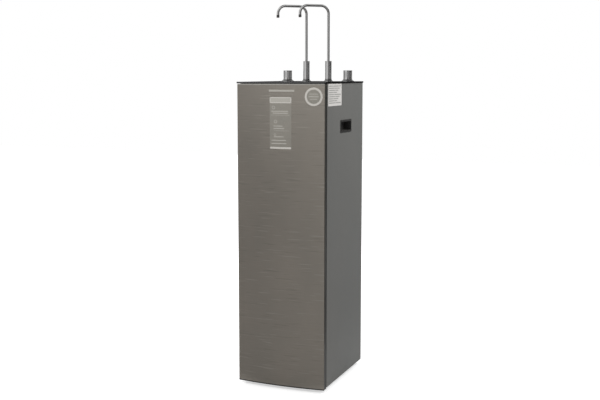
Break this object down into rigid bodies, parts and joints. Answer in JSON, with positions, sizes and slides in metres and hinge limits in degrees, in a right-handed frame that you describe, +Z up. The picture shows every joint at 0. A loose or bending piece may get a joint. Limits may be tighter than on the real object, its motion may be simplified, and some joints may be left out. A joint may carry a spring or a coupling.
{
  "type": "reverse osmosis water purifier",
  "caption": "Tall free-standing cabinet water purifier with a bowed front door, carrying pockets in its sides and bent spouts with valve knobs on top.",
  "frame": {"origin": "on the floor, under the middle of the whole object's box", "axes": "+Z up; +Y towards the back panel; +X to the right as seen by a person who faces the door"},
  "size_m": [0.305, 0.3914, 1.2545],
  "materials": {
    "painted_steel": "satin",
    "zinc_steel": "satin",
    "brushed_front": "brushed",
    "chrome": "polished",
    "trim_aluminium": "satin",
    "gloss_black": "gloss",
    "dark_plastic": "matte",
    "black_plastic": "matte",
    "white_plastic": "satin",
    "blue_plastic": "gloss",
    "white_fibre": "matte",
    "tube_white": "satin",
    "rubber": "matte",
    "steel": "satin",
    "magnet": "matte",
    "brass": "satin",
    "tank_paint": "gloss"
  },
  "bodies": {
    "cabinet": {"base_pan": "zinc_steel", "feet": "rubber", "right_side_panel": "painted_steel", "left_side_panel": "painted_steel", "right_handle_pocket": "black_plastic", "left_handle_pocket": "black_plastic", "rear_panel": "zinc_steel", "panel_screws": "steel", "deck": "black_plastic", "top_plate": "gloss_black", "mid_shelf": "zinc_steel", "filter_bracket": "zinc_steel", "hinge_brackets": "steel", "hinge_pins": "steel", "catch_body": "white_plastic", "catch_magnet": "magnet", "tap_flanges": "chrome", "left_tap_body": "chrome", "right_tap_body": "chrome", "seal_rings": "rubber", "tap_nuts": "brass", "valve_escutcheons": "chrome", "valve_bodies": "brass", "prefilter_caps": "blue_plastic", "prefilter_bowls": "white_plastic", "prefilter_cartridges": "white_fibre", "membrane_housing": "white_plastic", "membrane_cap": "white_plastic", "membrane_element": "white_fibre", "post_filters": "white_plastic", "filter_clips": "white_plastic", "junction_block": "white_plastic", "pump_head": "black_plastic", "pump_motor": "steel", "pump_bracket": "zinc_steel", "pump_mounts": "rubber", "power_adapter": "black_plastic", "pressure_switches": "black_plastic", "solenoid_valve": "white_plastic", "pressure_tank": "tank_paint", "tank_stand": "black_plastic", "tank_valve": "white_plastic", "rear_fittings": "white_plastic", "push_fittings": "white_plastic", "water_tubes": "tube_white"},
    "door": {"door_frame": "dark_plastic", "door_panel": "brushed_front", "door_top_trim": "trim_aluminium", "door_inner_cover": "dark_plastic", "door_strike_plate": "steel", "hinge_bushes": "white_plastic"},
    "left_spout_arm": {"left_spout": "chrome", "left_nozzle": "dark_plastic"},
    "right_spout_arm": {"right_spout": "chrome", "right_nozzle": "dark_plastic"},
    "left_knob": {"left_valve_knob": "chrome", "left_valve_stem": "brass"},
    "right_knob": {"right_valve_knob": "chrome", "right_valve_stem": "brass"},
    "tank_valve_lever": {"tank_lever": "blue_plastic"}
  },
  "joints": [
    {"name": "door_hinge", "type": "hinge", "parent": "cabinet", "child": "door", "pos_m": [-0.14, -0.17325, 0.5], "axis": [0, 0, -1], "range_deg": [0, 95]},
    {"name": "left_spout_swivel", "type": "hinge", "parent": "cabinet", "child": "left_spout_arm", "pos_m": [-0.0405, 0.13725, 1.06], "axis": [0, 0, 1], "range_deg": [-132, 38]},
    {"name": "right_spout_swivel", "type": "hinge", "parent": "cabinet", "child": "right_spout_arm", "pos_m": [0.0405, 0.13725, 1.06], "axis": [0, 0, 1], "range_deg": [0, 228]},
    {"name": "left_knob_turn", "type": "hinge", "parent": "cabinet", "child": "left_knob", "pos_m": [-0.111, 0.13725, 1.02], "axis": [0, 0, 1], "range_deg": [0, 90]},
    {"name": "right_knob_turn", "type": "hinge", "parent": "cabinet", "child": "right_knob", "pos_m": [0.111, 0.13725, 1.02], "axis": [0, 0, 1], "range_deg": [0, 90]},
    {"name": "tank_lever_turn", "type": "hinge", "parent": "cabinet", "child": "tank_valve_lever", "pos_m": [0, -0.04325, 0.3705], "axis": [0, 1, 0], "range_deg": [0, 90]}
  ]
}
